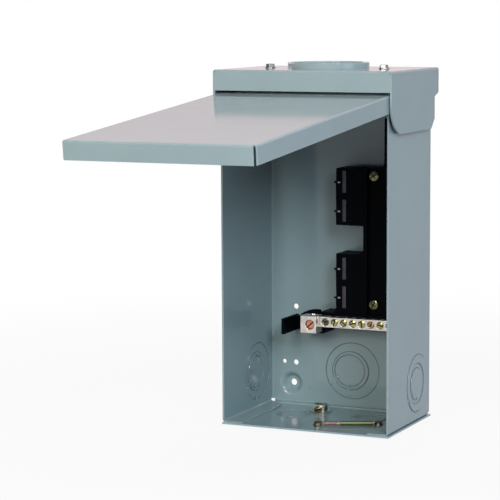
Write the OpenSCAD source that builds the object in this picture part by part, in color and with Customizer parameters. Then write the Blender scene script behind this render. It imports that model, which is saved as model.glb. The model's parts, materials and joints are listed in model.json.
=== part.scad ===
// Outdoor subpanel enclosure: a bent-steel box with a hooded cap, a flip-up pan door
// and a small plug-on breaker interior with neutral and ground terminals.
// Inside the modules x runs across from the middle, y back from the box's front edges
// and z up from the underside of the floor plate. at_wall() then moves every piece so
// that the origin is the middle of the four wall holes, on the wall itself.

/* [Box] */
// Outside width of the bent body
box_w = 152.4; // [150:0.1:155]
// Outside depth of the bent body
box_d = 104.8; // [103:0.1:107]
// Height from the underside of the floor to the top of the cap
box_h = 305.6; // [304:0.1:309]
// Thickness of the body, floor and cap sheet
sheet = 1.5; // [1.4:0.1:1.6]
// Outside radius of the body's bends
bend_r = 3; // [2.6:0.1:3.4]
// Width of the body's flanges that lie on the floor plate
floor_flange = 18.8; // [16:0.1:20]
// Width of the body's flanges under the cap
top_flange = 13; // [10:0.1:14]
// How far the floor plate stands out past the walls
floor_lip = 0.5; // [0.2:0.1:1]

/* [Wall mounting] */
// Depth of the pressed standoffs that hold the rear wall off the building's wall
standoff = 5; // [4.6:0.1:7]
// Distance across between the wall holes
mount_dx = 111; // [108:0.1:112]
// Distance up between the wall holes
mount_dz = 254; // [252:0.1:255]
// Height of the lower wall holes above the underside of the floor
mount_low_z = 19.9; // [19:0.1:22]
// Radius of the wall holes
mount_hole_r = 3; // [2.5:0.1:3.2]
// Radius of a standoff at the rear wall
dimple_r = 10.6; // [10:0.1:11]
// Radius of a standoff's flat face on the building's wall
dimple_face_r = 6.6; // [6:0.1:8]

/* [Knockouts] */
// Radii of the nested wall knockouts, from the inner blank out
wall_ko = [14.1, 17.5, 25.2];
// Radii of the nested floor knockouts, from the inner blank out
floor_ko = [11.1, 14.1, 17.5];
// How far a half-sheared ring is pushed out of its sheet
ko_step = 0.6; // [0.4:0.05:0.7]
// Height of the wall knockouts' middle
ko_z = 34.9; // [33:0.1:36]
// Depth of the side knockouts' middle behind the front edges
ko_side_y = 71; // [68:0.1:73]
// Sideways place of the rear knockout's middle
ko_rear_x = 3.4; // [0:0.1:5]

/* [Cap] */
// How far the cap's ears stand out past the body's sides
cap_side = 4.4; // [4.2:0.1:5]
// How far the cap's front flange stands in front of the box
cap_front = 5.6; // [5.4:0.1:6.5]
// Height of the cap's front flange
cap_flange = 17.6; // [15:0.1:18]
// Outside radius of the cap's bends
cap_r = 2.2; // [2:0.1:2.6]
// Drop of the ears below the top of the cap
ear_drop = 52.3; // [50:0.1:56]
// Radius of the ears' front lower corner
ear_corner_r = 25; // [20:0.5:28]
// Middle of the hub opening behind the front edges
hub_y = 55.8; // [54:0.1:57]
// Line of the closure's screws behind the front edges
hub_screw_y = 51; // [50:0.1:54]
// Outside radius of the hub closure's collar
hub_r = 34.9; // [33:0.1:36]
// Height of the collar above the cap
hub_rise = 5.2; // [4.5:0.1:9]
// Distance of the closure's screws from the hub's middle
hub_screw_x = 52.5; // [52:0.1:53]

/* [Door] */
// Angle of the door from closed, as it stands at rest
door_open = 85; // [0:1:90]
// Outside width of the door
door_w = 156.6; // [156.4:0.1:156.8]
// Thickness of the door sheet
door_sheet = 1.2; // [1:0.1:1.3]
// Depth of the door's flanges
door_flange = 14.8; // [14:0.1:16]
// Outside radius of the door's bends
door_r = 2; // [1.8:0.1:2.4]
// Hinge axis behind the front edges
hinge_y = 8; // [7.8:0.1:8.2]
// Hinge axis above the underside of the floor
hinge_z = 275.5; // [275:0.1:276]
// Distance from the hinge axis to the door's outer face
hinge_to_face = 11.2; // [11.1:0.1:11.4]
// Reach of the door below the hinge when closed
door_reach = 277.6; // [277.2:0.1:278.2]
// Reach of the door's upper edge above the hinge when closed
door_tail = 16.5; // [14:0.1:17]
// Radius of the hinge pins
pin_r = 2.5; // [2.2:0.1:2.8]

/* [Breaker interior] */
// Distance between neighbouring breaker spaces
space_pitch = 25.4; // [25.2:0.1:25.6]
// Middle height of the breaker interior
base_z = 155.7; // [154:0.1:157]
// Left edge of the moulded base
base_left = -2.3; // [-4:0.1:-1]
// Height of the moulded base off the rear wall
base_rise = 25; // [23:0.1:27]

/* [Terminals] */
// Distance between neighbouring neutral screws
neutral_pitch = 8.55; // [8.4:0.05:8.6]
// Number of neutral screws
neutral_count = 9; // [5:1:9]
// Distance of the neutral bar's front from the rear wall
neutral_rise = 33.3; // [32:0.1:35]

/* [Hidden] */
$fn = 64;

paint = "#9aa6a8";
black = "#17181c";
zinc = "#b7a860";
silver = "#c9cacb";
copper = "#b87352";

// Planes of the box
half_w = box_w / 2;
wall_in = box_d - sheet;
top_z = box_h - sheet;
wall_y = box_d + standoff;
mount_mid_z = mount_low_z + mount_dz / 2;

// Where the body's lower and upper bends start, and where they stop at the rear corners
wall_low = sheet + bend_r;
wall_high = top_z - bend_r;
corner_gap = 1.2;
hem_end = box_d - bend_r - corner_gap;
relief_x = half_w - bend_r - corner_gap;
flange_front = 0.5;
mitre = 17;
rear_flange = 5;

// The side walls' round nose at the hinge, and the room behind it for the door's tail
nose_r = hinge_y;
notch_d = hinge_y + door_tail + 2.5;

// Small holes for a ground bar kit in the rear wall: x, z and radius, and a blind pilot
kit_holes = [[-51.2, 90.2, 2.4], [-51.3, 39.2, 2.4], [-62.6, 39.5, 1.9]];
pilot = [-37, 16.5, 1.3];
pilot_deep = 0.9;
// Middles of the floor knockouts
floor_ko_at = [[-34, 60], [36, 68]];
// Directions of the two uncut ties of each knockout ring
tie_angles = [210, 264];
tie_w = 3;
// Shear lines round the blanks: how far each blank's middle is shifted, width and depths
ko_shift = [1, 0.7, 0];
ko_line = 0.6;
ko_line_in = 0.8;
ko_line_out = 0.3;

// Cap planes
cap_half = half_w + cap_side;
cap_rear = wall_y;
ear_low = box_h - ear_drop;
ear_rear = box_d - 4.5;
ear_chamfer = 8.5;
ear_step_z = box_h - 25;
ear_step_rise = 3.4;
hub_gap = 0.3;
hub_wall = 1.5;
hub_plate_r = 41;
hub_ear_r = 8.5;
hub_shank_r = 2;

// Door in coordinates from its hinge axis, closed
face_y = -hinge_to_face;
door_half = door_w / 2;
door_low = -door_reach;
door_slit = 3;
lobe_r = 6.5;
pin_gap = 0.05;
pin_end = cap_half - sheet - 0.4;
pin_head_r = 4.5;
pin_collar_r = 3.4;
pin_collar = door_half - door_sheet - 0.2;

// Breaker interior planes
base_front = wall_in - base_rise;
deck_y = base_front + 4;
base_right = 72.6;
base_half_h = 62.5;
base_top = base_z + base_half_h;
riser_left = 41.1;
riser_top = base_top + 44;
riser_fillet = 6;
notch_right = 23;
notch_half_h = 12.5;
groove_x = 26.8;
skin = 3;
space_z = [for (k = [2, 1, -1, -2]) base_z + k * space_pitch];
rib_x = 5.7;
rib_w = 3.6;
rib_h = 19.3;
nib_drop = 0.7;
base_screw_x = 32.2;
base_screw_dz = 56.4;

// Bus bars: strips on the deck, with fingers that meet the breakers in one column
bus_t = 2.4;
bus_y = deck_y - bus_t;
bus_w = 5.5;
bus_a_x = 48;
bus_b_x = 64.2;
stab_x = [54.2, 62.2];
stab_reach = 11;
lug_w = 10;
line_lug_x = [50.6, 62.4];
line_lug_z = [base_top + 18, base_top + 36];
line_lug_front = bus_y - 13.5;
line_wire_r = 3.9;
line_wire_in = 8.2;
line_screw_r = 3.5;

// Neutral planes
bar_front = wall_in - neutral_rise;
bar_back = bar_front + 10;
bar_z = [78.6, 87.6];
bar_left = -14.5;
bar_first = -9.05;
neutral_lug_x = [-29.5, bar_left];
neutral_lug_y = [bar_front - 8, bar_front + 6];
neutral_lug_z = [73.6, 89];
neutral_wire_r = 4.4;
neutral_wire_in = 8.4;
neutral_screw_r = 4.2;
neutral_sunk = 1.8;
neutral_off = 1.4;
neutral_axis_x = (neutral_lug_x[0] + neutral_lug_x[1]) / 2 + neutral_off;
neutral_mid_z = (neutral_lug_z[0] + neutral_lug_z[1]) / 2;
bar_wire_r = 2.3;
bar_wire_in = 5.6;
bar_head_r = 3.25;
bar_head_h = 1.8;
bar_shank_r = 2.2;
screw_seat = 1.2;
run_down = 3;
beam_top = base_z - 65.4;
beam_low = 79;
arm_x = [-51.3, -48.3];
arm_z = [69.6, 83.7];
arm_front = bar_front;
arm_foot = 6;
shroud_at = [-22, 68.1];
shroud_r = 24;
shroud_t = 4;
shroud_x = [-37, -18.4];
shroud_low = 71;
core_left = -32;
core_top = 86;

// Ground lug and bonding jumper on the floor
ground_x = [-16.3, -6.2];
ground_front = 59;
ground_top = 11;
barrel_y = 65;
barrel_z = 6.8;
barrel_r = 5.3;
ground_wire_r = 3.5;
ground_screw_r = 3.1;
ground_proud = 3.5;
foot_end = 78;
foot_screw_y = 74.3;
jumper_from = [5, 19.3];
jumper_to = [52.8, 40];
jumper_turn = atan2(jumper_to[1] - jumper_from[1], jumper_to[0] - jumper_from[0]);
jumper_len = norm(jumper_to - jumper_from);
jumper_z = sheet + 2.1;
sleeve_r = 2;
strand_r = 1.3;
eye_r = 3.9;
eye_t = 1.8;
eye_lap = 0.3;
sleeve_from = 0.37;
ferrule_r = 1.7;
ferrule_gap = 1.2;

// Gaps round the clamp screws, and round other shanks and strands in their holes
clamp_gap = 0.06;
small_gap = 0.05;

module at_wall() translate([0, -wall_y, -mount_mid_z]) children();

module both_sides() {
    children();
    mirror([1, 0, 0]) children();
}

module slab(low, high) translate(low) cube(high - low);

module along_x(x0, x1) translate([x0, 0, 0]) rotate([90, 0, 90]) linear_extrude(x1 - x0) children();
module along_y(y0, y1) translate([0, y1, 0]) rotate([90, 0, 0]) linear_extrude(y1 - y0) children();
module along_z(z0, z1) translate([0, 0, z0]) linear_extrude(z1 - z0) children();

module rod_x(x0, x1, y, z, r) along_x(x0, x1) translate([y, z]) circle(r);
module rod_y(y0, y1, x, z, r) along_y(y0, y1) translate([x, z]) circle(r);
module rod_z(z0, z1, x, y, r) along_z(z0, z1) translate([x, y]) circle(r);

module block2(low, high) translate(low) square(high - low);

// Quarter of a bent sheet's section, outer radius r, in the first quadrant
module quarter(r, t) intersection() {
    difference() {
        circle(r);
        circle(r - t);
    }
    square(r + 1);
}

// Half-sheared rings of a nest of knockouts, whose smaller blanks lie off centre
module ko_rings(radii) {
    off = radii[2] / 9;
    difference() {
        circle(radii[2]);
        translate([-off * ko_shift[1], 0]) circle(radii[1]);
        for (a = tie_angles) rotate(a) block2([radii[2] - 2, -tie_w / 2], [radii[2] + 2, tie_w / 2]);
    }
    difference() {
        translate([-off, 0]) circle(radii[0]);
        for (a = tie_angles) translate([-off, 0]) rotate(a)
            block2([radii[0] - 2, -tie_w / 2], [radii[0] + 2, tie_w / 2]);
    }
}

// Open shear lines round every blank of a nest, except at the ties
module ko_lines(radii) for (k = [0 : 2]) translate([-ko_shift[k] * radii[2] / 9, 0]) difference() {
    circle(radii[k] + ko_line / 2);
    circle(radii[k] - ko_line / 2);
    for (a = tie_angles) rotate(a) block2([radii[k] - 2, -tie_w / 2], [radii[k] + 2, tie_w / 2]);
}

// Outline of the U of walls, with round rear corners
module wall_outline(w, d, r) {
    block2([-w / 2, 0], [w / 2, d - r]);
    block2([-w / 2 + r, 0], [w / 2 - r, d]);
    for (s = [-1, 1]) translate([s * (w / 2 - r), d - r]) circle(r);
}

module u_section() difference() {
    wall_outline(box_w, box_d, bend_r);
    translate([0, -1]) wall_outline(box_w - 2 * sheet, box_d - sheet + 1, bend_r - sheet);
}

// The right side's bent flanges at the floor and under the cap
module side_flanges() {
    along_y(flange_front, hem_end) translate([half_w - bend_r, wall_low]) rotate(-90) quarter(bend_r, sheet);
    along_z(sheet, 2 * sheet) polygon([
        [half_w - bend_r, flange_front], [half_w - floor_flange, flange_front],
        [half_w - floor_flange, hem_end - mitre], [half_w - bend_r, hem_end]]);
    along_y(notch_d + corner_gap, hem_end) translate([half_w - bend_r, wall_high]) quarter(bend_r, sheet);
    along_z(top_z - sheet, top_z) polygon([
        [half_w - bend_r, notch_d + corner_gap], [half_w - top_flange, notch_d + corner_gap + 6],
        [half_w - top_flange, hem_end - 10], [half_w - bend_r, hem_end]]);
}

// The rear wall's bend at the floor, with a short flange on the plate
module rear_bend() {
    bend_y = box_d - bend_r;
    along_x(-relief_x, relief_x) translate([bend_y, wall_low]) rotate(-90) quarter(bend_r, sheet);
    along_z(sheet, 2 * sheet) polygon([[-relief_x, bend_y], [relief_x, bend_y],
        [relief_x - rear_flange, bend_y - rear_flange], [rear_flange - relief_x, bend_y - rear_flange]]);
}

// What is cut from each side wall so that the door can swing round the hinge
module hinge_notch() difference() {
    block2([-1, hinge_z], [notch_d, box_h + 1]);
    translate([hinge_y, hinge_z]) circle(nose_r);
    block2([hinge_y, hinge_z - 1], [notch_d + 1, hinge_z + nose_r]);
}

module mount_places() for (x = [-1, 1], z = [0, 1])
    translate([x * mount_dx / 2, 0, mount_low_z + z * mount_dz]) children();

module dimple_skin() translate([0, box_d, 0]) rotate([-90, 0, 0])
    cylinder(h = standoff, r1 = dimple_r, r2 = dimple_face_r);

module dimple_hollow() {
    taper = (dimple_r - dimple_face_r) / standoff;
    lead = 0.5;
    translate([0, wall_in - lead, 0]) rotate([-90, 0, 0])
        cylinder(h = standoff + lead, r1 = dimple_r - 0.7 + lead * taper, r2 = dimple_face_r - 0.7);
    rod_y(wall_in - 1, wall_y + 1, 0, 0, mount_hole_r);
}

module body_shell() color(paint) difference() {
    union() {
        along_z(wall_low, wall_high) u_section();
        slab([-relief_x, wall_in, wall_high], [relief_x, box_d, top_z]);
        rear_bend();
        both_sides() side_flanges();
        mount_places() dimple_skin();
        along_y(box_d, box_d + ko_step) translate([ko_rear_x, ko_z]) ko_rings(wall_ko);
        both_sides() along_x(half_w, half_w + ko_step) translate([ko_side_y, ko_z]) ko_rings(wall_ko);
    }
    along_x(-box_w, box_w) hinge_notch();
    rod_x(-box_w, box_w, hinge_y, hinge_z, pin_r + pin_gap);
    mount_places() dimple_hollow();
    along_y(wall_in - 1, wall_in + ko_step) translate([ko_rear_x, ko_z]) ko_rings(wall_ko);
    both_sides() along_x(half_w - sheet - 1, half_w - sheet + ko_step)
        translate([ko_side_y, ko_z]) ko_rings(wall_ko);
    along_y(wall_in - 1, wall_in + ko_line_in) translate([ko_rear_x, ko_z]) ko_lines(wall_ko);
    along_y(box_d - ko_line_out, box_d + 1) translate([ko_rear_x, ko_z]) ko_lines(wall_ko);
    both_sides() {
        along_x(half_w - sheet - 1, half_w - sheet + ko_line_in)
            translate([ko_side_y, ko_z]) ko_lines(wall_ko);
        along_x(half_w - ko_line_out, half_w + 1) translate([ko_side_y, ko_z]) ko_lines(wall_ko);
    }
    for (h = kit_holes) rod_y(wall_in - 1, box_d + 1, h[0], h[1], h[2]);
    rod_y(wall_in - 1, wall_in + pilot_deep, pilot[0], pilot[1], pilot[2]);
    for (s = [-1, 1]) rod_y(wall_in - 1, box_d + 1, base_screw_x, base_z + s * base_screw_dz, 2);
}

module bottom_plate() color(paint) difference() {
    union() {
        slab([-half_w - floor_lip, 0, 0], [half_w + floor_lip, box_d + floor_lip, sheet]);
        for (p = floor_ko_at) along_z(-ko_step, 0) translate(p) ko_rings(floor_ko);
    }
    for (p = floor_ko_at) translate(p) {
        along_z(sheet - ko_step, sheet + 1) ko_rings(floor_ko);
        along_z(sheet - ko_line_in, sheet + 1) ko_lines(floor_ko);
        along_z(-1, ko_line_out) ko_lines(floor_ko);
    }
    for (p = [jumper_from, jumper_to, [(ground_x[0] + ground_x[1]) / 2, foot_screw_y]])
        rod_z(-1, sheet + 1, p[0], p[1], 1.9);
}

// Side view of one ear, with its round front corner, cut rear corner and raised step
module ear_outline() {
    edge_z = box_h - cap_r;
    polygon([
        [-cap_front, edge_z], [cap_rear, edge_z], [cap_rear, ear_step_z + ear_step_rise],
        [ear_rear, ear_step_z], [ear_rear, ear_low + ear_chamfer], [ear_rear - ear_chamfer, ear_low],
        [ear_corner_r - cap_front, ear_low], [ear_corner_r - cap_front, ear_low + ear_corner_r],
        [-cap_front, ear_low + ear_corner_r]]);
    intersection() {
        translate([ear_corner_r - cap_front, ear_low + ear_corner_r]) circle(ear_corner_r);
        block2([-cap_front, ear_low], [ear_corner_r - cap_front, ear_low + ear_corner_r]);
    }
}

module top_cap() color(paint) difference() {
    union() {
        slab([-cap_half + cap_r, cap_r - cap_front, top_z], [cap_half - cap_r, cap_rear, box_h]);
        along_x(-cap_half + cap_r, cap_half - cap_r)
            translate([cap_r - cap_front, box_h - cap_r]) rotate(90) quarter(cap_r, sheet);
        slab([-cap_half + sheet, -cap_front, box_h - cap_flange],
            [cap_half - sheet, sheet - cap_front, box_h - cap_r]);
        both_sides() {
            along_y(-cap_front, cap_rear) translate([cap_half - cap_r, box_h - cap_r]) quarter(cap_r, sheet);
            along_x(cap_half - sheet, cap_half) ear_outline();
        }
    }
    rod_z(top_z - 1, box_h + 1, 0, hub_y, hub_r + hub_gap);
    for (s = [-1, 1]) rod_z(top_z - 1, box_h + 1, s * hub_screw_x, hub_screw_y, hub_shank_r + small_gap);
}

// Closure of the hub opening: a plate under the cap whose collar stands up through it
module hub_closure() color(paint) difference() {
    rim = hub_wall / 2;
    union() {
        along_z(top_z - sheet, top_z) {
            translate([0, hub_y]) circle(hub_plate_r);
            translate([0, hub_screw_y]) block2([-hub_screw_x, -hub_ear_r], [hub_screw_x, hub_ear_r]);
            for (s = [-1, 1]) translate([s * hub_screw_x, hub_screw_y]) circle(hub_ear_r);
        }
        translate([0, hub_y, 0]) rotate_extrude() {
            block2([hub_r - hub_wall, top_z - sheet], [hub_r, box_h + hub_rise - rim]);
            translate([hub_r - rim, box_h + hub_rise - rim]) circle(rim);
        }
    }
    for (s = [-1, 1])
        rod_z(top_z - sheet - 1, top_z + 1, s * hub_screw_x, hub_screw_y, hub_shank_r + small_gap);
}

module hub_screws() color(zinc) for (s = [-1, 1]) translate([s * hub_screw_x, hub_screw_y, box_h]) {
    cylinder(h = 0.8, r = 4.6);
    cylinder(h = 3.5, r = 3.9, $fn = 6);
    translate([0, 0, -8]) cylinder(h = 9, r = hub_shank_r);
}

// Side view of a door flange from the hinge axis: a strip with a round lobe at the pin
module door_side_outline() {
    back = face_y + door_flange;
    polygon([[face_y + door_r, door_low + door_slit], [back, door_low + door_slit], [back, 0],
        [face_y + door_flange / 2, door_tail], [face_y + door_r, door_tail]]);
    circle(lobe_r);
}

module door_closed() difference() {
    union() {
        slab([-door_half + door_r, face_y, door_low + door_r],
            [door_half - door_r, face_y + door_sheet, door_tail]);
        along_x(-door_half + door_r, door_half - door_r)
            translate([face_y + door_r, door_low + door_r]) rotate(180) quarter(door_r, door_sheet);
        slab([-door_half + door_r, face_y + door_r, door_low],
            [door_half - door_r, face_y + door_flange, door_low + door_sheet]);
        both_sides() {
            along_z(door_low + door_slit, door_tail)
                translate([door_half - door_r, face_y + door_r]) rotate(-90) quarter(door_r, door_sheet);
            along_x(door_half - door_sheet, door_half) door_side_outline();
        }
    }
    rod_x(-door_half - 1, door_half + 1, 0, 0, pin_r + pin_gap);
}

module door() color(paint) translate([0, hinge_y, hinge_z]) rotate([-door_open, 0, 0]) door_closed();

// Riveted pin: head inside, collar outside the wall, then the journal for the door
module hinge_pin() translate([0, hinge_y, hinge_z]) {
    rod_x(half_w - sheet - 1.4, half_w - sheet, 0, 0, pin_head_r);
    rod_x(half_w - sheet - 1, pin_end, 0, 0, pin_r);
    rod_x(half_w, pin_collar, 0, 0, pin_collar_r);
}
module hinge_pin_right() color(zinc) hinge_pin();
module hinge_pin_left() color(zinc) mirror([1, 0, 0]) hinge_pin();

// Front view of the moulded base: a comb of two breaker bays and a riser for the lugs
module base_outline() {
    difference() {
        block2([base_left, beam_top], [base_right, base_top]);
        polygon([[base_left - 1, base_z + notch_half_h], [notch_right, base_z + notch_half_h],
            [notch_right, base_z - notch_half_h + 3], [notch_right - 4, base_z - notch_half_h],
            [base_left - 1, base_z - notch_half_h]]);
    }
    block2([riser_left, base_top - 1], [base_right, riser_top]);
    difference() {
        block2([riser_left - riser_fillet, base_top - 1], [riser_left, base_top + riser_fillet]);
        translate([riser_left - riser_fillet, base_top + riser_fillet]) circle(riser_fillet);
    }
    difference() {
        block2([base_left - 5, beam_top], [base_left, beam_top + 5]);
        translate([base_left - 5, beam_top + 5]) circle(5);
    }
}

module interior_base() color(black) difference() {
    union() {
        difference() {
            along_y(base_front, wall_in) base_outline();
            slab([groove_x, base_front - 1, beam_top - 1], [base_right + 1, deck_y, riser_top + 1]);
        }
        for (z = space_z) rod_x(base_left - 1.5, base_left + 4.3, base_front, z - nib_drop, 0.9);
    }
    for (s = [-1, 1]) {
        low = s > 0 ? base_z + notch_half_h + skin : beam_top + skin;
        high = s > 0 ? base_top - skin : base_z - notch_half_h - skin;
        slab([base_left + skin, base_front + skin, low], [notch_right, wall_in + 1, high]);
        rod_y(deck_y - 1, wall_in + 1, base_screw_x, base_z + s * base_screw_dz, 2.2);
    }
    slab([riser_left + skin, deck_y + skin, beam_top + skin],
        [base_right - skin, wall_in + 1, riser_top - skin]);
    for (z = space_z) slab([rib_x - rib_w / 2 - 0.1, base_front - 2, z - rib_h / 2 - 0.1],
        [rib_x + rib_w / 2 + 0.1, base_front + skin + 1, z + rib_h / 2 + 0.1]);
    for (x = [bus_a_x, bus_b_x]) rod_y(deck_y - 1, deck_y + skin + 1, x + bus_w / 2, base_z, 1.6);
}

// Plated strips behind the base's skin, whose ribs stand through it to hook the breakers
module hook_rails() color("#8d8f95") for (s = [0, 1]) {
    mid = base_z + (s == 0 ? 1.5 : -1.5) * space_pitch;
    slab([rib_x - 3, base_front + skin, mid - 21], [rib_x + 3, base_front + skin + 2, mid + 21]);
    for (k = [-0.5, 0.5]) translate([rib_x, 0, mid + k * space_pitch])
        slab([-rib_w / 2, base_front - 1, -rib_h / 2], [rib_w / 2, base_front + skin + 1, rib_h / 2]);
}

// Slotted pan-head screw that points along +y, its head's seat at y = 0
module screw(head_r, head_h, shank_r, shank_len, slot_turn) {
    rim = head_h * 0.4;
    difference() {
        rotate([90, 0, 0]) {
            cylinder(h = head_h - rim, r = head_r);
            translate([0, 0, head_h - rim]) cylinder(h = rim, r1 = head_r, r2 = head_r - rim);
        }
        rotate([0, slot_turn, 0]) slab([-head_r - 1, -head_h - 1, -0.5], [head_r + 1, -head_h * 0.5, 0.5]);
    }
    rotate([-90, 0, 0]) cylinder(h = shank_len, r = shank_r);
}

// Headless slotted clamp screw along +y, its face at y = 0
module clamp_screw(r, len, slot_turn) difference() {
    rotate([-90, 0, 0]) cylinder(h = len, r = r);
    rotate([0, slot_turn, 0]) slab([-r - 1, -1, -0.6], [r + 1, 1.1, 0.6]);
}

module base_screws() color(zinc) for (s = [-1, 1])
    translate([base_screw_x, deck_y, base_z + s * base_screw_dz]) screw(4.6, 3, 1.9, box_d - deck_y + 3, 35);

// One bus: strip, tongue under its lug, fingers, and blades that stand up into the breakers
module bus(strip_x, tongue_x, spaces) difference() {
    union() {
        slab([strip_x, bus_y, space_z[3] - 8], [strip_x + bus_w, deck_y, line_lug_z[0]]);
        slab([tongue_x, bus_y, line_lug_z[0] - 6], [tongue_x + lug_w, deck_y, line_lug_z[1]]);
        for (k = spaces) {
            slab([min(strip_x, stab_x[0]), bus_y, space_z[k] - 5],
                [max(strip_x + bus_w, stab_x[1]), deck_y, space_z[k] + 5]);
            slab([stab_x[0], bus_y - stab_reach, space_z[k] - 1.2],
                [stab_x[1], bus_y + 1, space_z[k] + 1.2]);
        }
    }
    rod_y(bus_y - 1, deck_y + 1, strip_x + bus_w / 2, base_z, 1.6);
}
module line_bus_a() color(silver) bus(bus_a_x, line_lug_x[0], [0, 2]);
module line_bus_b() color(silver) bus(bus_b_x, line_lug_x[1], [1, 3]);

module bus_screws() color(zinc) for (x = [bus_a_x, bus_b_x])
    translate([x + bus_w / 2, bus_y, base_z]) screw(2.6, 1.8, 1.5, bus_t + skin, 20);

module line_lug(x) {
    mid = [x + lug_w / 2, line_lug_front + line_wire_in, (line_lug_z[0] + line_lug_z[1]) / 2];
    difference() {
        slab([x, line_lug_front, line_lug_z[0]], [x + lug_w, bus_y, line_lug_z[1]]);
        rod_z(line_lug_z[0] - 1, line_lug_z[1] + 1, mid[0], mid[1], line_wire_r);
        rod_y(line_lug_front - 1, mid[1], mid[0], mid[2], line_screw_r);
    }
}
module line_screw(x) translate([x + lug_w / 2, line_lug_front + 0.6, (line_lug_z[0] + line_lug_z[1]) / 2])
    clamp_screw(line_screw_r - clamp_gap, 3.2, 40);

module line_lug_a() color(silver) line_lug(line_lug_x[0]);
module line_lug_b() color(silver) line_lug(line_lug_x[1]);
module line_screw_a() color(zinc) line_screw(line_lug_x[0]);
module line_screw_b() color(zinc) line_screw(line_lug_x[1]);

// Moulded neutral carrier: a beam on the rear wall, a thin shroud behind the lug, a side barrier
module neutral_support() color(black) {
    along_y(bar_back, wall_in) polygon([[core_left, shroud_low], [bar_left, shroud_low],
        [bar_left + 3, beam_low], [base_right, beam_low], [base_right, beam_top],
        [shroud_x[1], beam_top], [shroud_x[1], core_top], [core_left, core_top]]);
    along_y(bar_back, bar_back + shroud_t) intersection() {
        translate(shroud_at) circle(shroud_r);
        block2([shroud_x[0], shroud_low], [shroud_x[1], beam_top + 10]);
    }
    along_y(wall_in - arm_foot, wall_in) block2([arm_x[0] + 1, arm_z[0] + 1], [core_left + 1, arm_z[1] - 1]);
    slab([arm_x[0], arm_front, arm_z[0]], [arm_x[1], wall_in, arm_z[1]]);
}

function neutral_x(k) = bar_first + k * neutral_pitch;
// The first screw is run down, the others wait for wires
function seat_of(k) = k == 0 ? run_down : screw_seat;
bar_right = neutral_x(neutral_count - 1) + 6.5;
bar_mid_z = (bar_z[0] + bar_z[1]) / 2;

// Drilled bar: a wire hole down through it and a screw hole from the front at each place
module neutral_bar() color(silver) difference() {
    union() {
        slab([bar_left, bar_front, bar_z[0]], [bar_right, bar_back, bar_z[1]]);
        slab([neutral_lug_x[0] + 1.5, neutral_lug_y[1], bar_z[0] + 0.4], [bar_left + 1, bar_back, bar_z[1]]);
    }
    for (k = [0 : neutral_count - 1]) {
        rod_z(bar_z[0] - 1, bar_z[1] + 1, neutral_x(k), bar_front + bar_wire_in, bar_wire_r);
        rod_y(bar_front - 1, bar_front + seat_of(k), neutral_x(k), bar_mid_z, bar_head_r + 0.15);
        rod_y(bar_front, bar_front + bar_wire_in, neutral_x(k), bar_mid_z, bar_shank_r + 0.05);
    }
}

module neutral_screws() color(zinc) for (k = [0 : neutral_count - 1])
    translate([neutral_x(k), bar_front + seat_of(k), bar_mid_z])
        screw(bar_head_r, bar_head_h, bar_shank_r, 2, 15 + 37 * k);

module neutral_lug() color(silver) difference() {
    slab([neutral_lug_x[0], neutral_lug_y[0], neutral_lug_z[0]],
        [neutral_lug_x[1], neutral_lug_y[1], neutral_lug_z[1]]);
    wire_y = neutral_lug_y[0] + neutral_wire_in;
    rod_z(neutral_lug_z[0] - 1, neutral_lug_z[1] + 1, neutral_axis_x, wire_y, neutral_wire_r);
    rod_y(neutral_lug_y[0] - 1, wire_y, neutral_axis_x, neutral_mid_z, neutral_screw_r);
}

module neutral_lug_screw() color(copper)
    translate([neutral_axis_x, neutral_lug_y[0] + neutral_sunk, neutral_mid_z])
        clamp_screw(neutral_screw_r - clamp_gap, 2.1, -40);

// Cast lug: a block for the clamp screw, a round barrel for the wire, a foot on the floor
module ground_lug() color(silver) difference() {
    union() {
        along_x(ground_x[0], ground_x[1]) {
            block2([ground_front, sheet], [barrel_y, ground_top]);
            translate([barrel_y, barrel_z]) circle(barrel_r);
        }
        slab([ground_x[0], barrel_y, sheet], [ground_x[1], foot_end, sheet + 2.6]);
    }
    rod_x(ground_x[0] - 1, ground_x[1] + 1, barrel_y, barrel_z, ground_wire_r);
    rod_y(ground_front - 1, barrel_y, (ground_x[0] + ground_x[1]) / 2, barrel_z, ground_screw_r);
    rod_z(sheet - 1, sheet + 4, (ground_x[0] + ground_x[1]) / 2, foot_screw_y, 1.9);
}

module ground_lug_screw() color(zinc)
    translate([(ground_x[0] + ground_x[1]) / 2, ground_front - ground_proud, barrel_z])
        clamp_screw(ground_screw_r - clamp_gap, 5.9, 25);

// Floor screw that points down, its head's seat at the given height
module floor_screw(at, seat_z, head_r, slot_turn) translate([at[0], at[1], seat_z]) rotate([-90, 0, 0])
    screw(head_r, 2, 1.8, seat_z, slot_turn);

module ground_foot_screw() color(zinc)
    floor_screw([(ground_x[0] + ground_x[1]) / 2, foot_screw_y], sheet + 2.6, 2.7, 10);

module along_jumper() translate([jumper_from[0], jumper_from[1], jumper_z])
    rotate([0, 0, jumper_turn]) children();

// Copper strand with a flattened eye at each end and a crimped ferrule at the first
module bond_conductor() color(copper) along_jumper() difference() {
    union() {
        rod_x(eye_r - eye_lap, jumper_len - eye_r + eye_lap, 0, 0, strand_r);
        rod_x(eye_r - eye_lap, jumper_len * sleeve_from - ferrule_gap, 0, 0, ferrule_r);
        for (x = [0, jumper_len]) rod_z(sheet - jumper_z, sheet + eye_t - jumper_z, x, 0, eye_r);
    }
    for (x = [0, jumper_len]) rod_z(-jumper_z, jumper_z, x, 0, 1.9);
}

module bond_sleeve() color("#4f7a45") along_jumper() difference() {
    rod_x(jumper_len * sleeve_from, jumper_len - eye_r - 1.5, 0, 0, sleeve_r);
    rod_x(0, jumper_len, 0, 0, strand_r + small_gap);
}

module bond_terminal_screw() color(zinc) floor_screw(jumper_from, sheet + eye_t, 3.2, 60);
module bonding_screw() color("#4f7a45") floor_screw(jumper_to, sheet + eye_t, 3.3, 15);

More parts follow.
